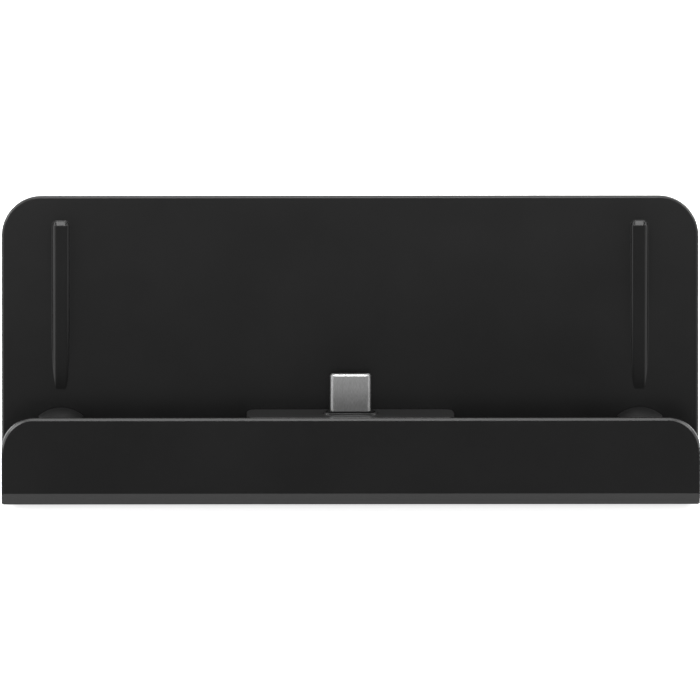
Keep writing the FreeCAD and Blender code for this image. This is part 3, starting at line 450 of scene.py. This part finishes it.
for x, y in SCREW_PLACES:
    middle = Vector((x, y, head_low))
    for across in (Vector((1.0, 0.0, 0.0)), Vector((0.0, 1.0, 0.0))):
        for step in (-CROSS_REACH, -CROSS_HALF_WIDTH, CROSS_HALF_WIDTH, CROSS_REACH):
            faces = head_faces(middle, HEAD_RADIUS, HEAD_RADIUS)
            edges = {edge for face in faces for edge in face.edges}
            verts = {vert for face in faces for vert in face.verts}
            bmesh.ops.bisect_plane(shape, geom=list(verts) + list(edges) + faces, dist=EXACT,
                                   plane_co=middle + step * across, plane_no=across)
    cross = set(head_faces(middle, CROSS_REACH, CROSS_HALF_WIDTH))
    cross |= set(head_faces(middle, CROSS_HALF_WIDTH, CROSS_REACH))
    pressed = bmesh.ops.extrude_face_region(shape, geom=list(cross))["geom"]
    bmesh.ops.delete(shape, geom=list(cross), context="FACES")
    bmesh.ops.translate(shape, verts=[item for item in pressed if isinstance(item, bmesh.types.BMVert)],
                        vec=(0.0, 0.0, CROSS_DEEP))
screw_mesh = bpy.data.meshes.new("cross_screws")
shape.to_mesh(screw_mesh)
shape.free()
screw_mesh.shade_flat()
screw_mesh.materials.clear()
screw_mesh.materials.append(zinc)
screws = bpy.data.objects.new("cross_screws", screw_mesh)
bpy.context.scene.collection.objects.link(screws)
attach(screws, "root")
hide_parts("cover_screws")

# Studio: a wide sheet of pale paper in a pale room, with softboxes overhead and in front of the dock.
# One high on each side lights the lip's corners, and a small low one to each side lights the ribs.
# Glossy surfaces mirror the sheet as plain white, and for the camera it still takes the dock's shadow.
FLOOR_REACH = 4.0
FLOOR_DROP = 0.0001
PAPER_CLOUD = 0.05
FLOOR_GLOW = 0.8
floor_mesh = bpy.data.meshes.new("studio_floor")
shape = bmesh.new()
bmesh.ops.create_grid(shape, x_segments=1, y_segments=1, size=FLOOR_REACH)
bmesh.ops.translate(shape, verts=shape.verts, vec=(0.0, 0.0, -FLOOR_DROP))
shape.to_mesh(floor_mesh)
shape.free()
floor = bpy.data.objects.new("studio_floor", floor_mesh)
bpy.context.scene.collection.objects.link(floor)
white_sheet, place = start_material("white_paper_floor")
cloud = add_node(white_sheet, "ShaderNodeTexNoise", {"Scale": 1 / PAPER_CLOUD},
                 {"Vector": (place, "Object")})
tint = add_node(white_sheet, "ShaderNodeValToRGB", links={"Fac": (cloud, "Fac")})
ramp_colours(tint, [(0.0, "#d6d6d6"), (1.0, "#dadada")])
ray = add_node(white_sheet, "ShaderNodeLightPath")
paper = add_node(white_sheet, "ShaderNodeBsdfDiffuse", links={"Color": (tint, "Color")})
glow_level = add_node(white_sheet, "ShaderNodeMapRange", {"To Max": FLOOR_GLOW},
                      {"Value": (ray, "Is Camera Ray")})
glow = add_node(white_sheet, "ShaderNodeEmission", links={"Strength": (glow_level, "Result")})
lit_paper = add_node(white_sheet, "ShaderNodeAddShader", links={0: (paper, 0), 1: (glow, 0)})
mirrored = add_node(white_sheet, "ShaderNodeMath", {"operation": "MAXIMUM"},
                    {0: (ray, "Is Glossy Ray"), 1: (ray, "Is Transmission Ray")})
plain_white = add_node(white_sheet, "ShaderNodeEmission")
finish_material(white_sheet, add_node(
    white_sheet, "ShaderNodeMixShader", links={0: (mirrored, 0), 1: (lit_paper, 0), 2: (plain_white, 0)}))
floor_mesh.materials.append(white_sheet)

# The room lights the dock faintly, and shows as white behind it and in its gloss.
ROOM_FILL = 0.2
world = bpy.data.worlds.new("pale_room")
bpy.context.scene.world = world
world.use_nodes = True
room = world.node_tree.nodes["Background"]
room.inputs["Color"].default_value = linear("#ffffff")
ray = add_node(world, "ShaderNodeLightPath")
mirrored = add_node(world, "ShaderNodeMath", {"operation": "MAXIMUM"},
                    {0: (ray, "Is Glossy Ray"), 1: (ray, "Is Transmission Ray")})
seen = add_node(world, "ShaderNodeMath", {"operation": "MAXIMUM"},
                {0: (ray, "Is Camera Ray"), 1: (mirrored, 0)})
level = add_node(world, "ShaderNodeMapRange", {"To Min": ROOM_FILL, "To Max": 1.0}, {"Value": (seen, 0)})
world.node_tree.links.new(level.outputs["Result"], room.inputs["Strength"])


def softbox(name, place, target, size, watts):
    """Rectangular soft light at a place, turned to a target."""
    light = bpy.data.lights.new(name, "AREA")
    light.shape = "RECTANGLE"
    light.size, light.size_y = size
    light.energy = watts
    lamp = bpy.data.objects.new(name, light)
    lamp.location = place
    lamp.rotation_euler = (Vector(target) - Vector(place)).to_track_quat("-Z", "Y").to_euler()
    bpy.context.scene.collection.objects.link(lamp)


softbox("softbox_overhead", (0.0, 0.045, 0.6), (0.0, 0.0, 0.03), (0.56, 0.21), 3.6)
softbox("softbox_high_front", (0.0, -0.175, 0.58), (0.0, 0.0, 0.03), (0.2, 0.23), 2.9)
softbox("softbox_high_left", (-0.45, 0.05, 0.38), (-0.07, -0.03, 0.02), (0.12, 0.42), 2.2)
softbox("softbox_high_right", (0.45, 0.05, 0.38), (0.07, -0.03, 0.02), (0.12, 0.42), 2.2)
softbox("softbox_left", (-0.12, -0.03, 0.045), (0.0, -0.03, 0.045), (0.12, 0.09), 0.12)
softbox("softbox_right", (0.12, -0.03, 0.045), (0.0, -0.03, 0.045), (0.12, 0.09), 0.08)
softbox("softbox_front", (0.0, -0.3, 0.21), (0.0, 0.0, 0.05), (0.6, 0.18), 0.4)

# Camera: a long lens a little above the dock and straight in front of it.
# It stands far off, so that the dock's edges stay parallel.
VIEW_ELEVATION = math.radians(19.0)
VIEW_AZIMUTH = math.radians(-0.45)
VIEW_ROLL = math.radians(0.1)
VIEW_DISTANCE = 6.0
VIEW_WIDTH = 0.1401
VIEW_TARGET = Vector((-0.0002, -0.0264, 0.0334))
SENSOR_WIDTH = 36.0
SIGHT_END = 30.0
view_back = Vector((math.sin(VIEW_AZIMUTH) * math.cos(VIEW_ELEVATION),
                    -math.cos(VIEW_AZIMUTH) * math.cos(VIEW_ELEVATION),
                    math.sin(VIEW_ELEVATION)))
lens = bpy.data.cameras.new("long_lens")
lens.sensor_width = SENSOR_WIDTH
lens.lens = SENSOR_WIDTH * VIEW_DISTANCE / VIEW_WIDTH
lens.clip_end = SIGHT_END
camera = bpy.data.objects.new("long_lens", lens)
camera.location = VIEW_TARGET + view_back * VIEW_DISTANCE
view_turn = (-view_back).to_track_quat("-Z", "Y") @ Quaternion((0.0, 0.0, 1.0), VIEW_ROLL)
camera.rotation_euler = view_turn.to_euler()
bpy.context.scene.collection.objects.link(camera)
bpy.context.scene.camera = camera
bpy.context.scene.view_settings.view_transform = "Standard"
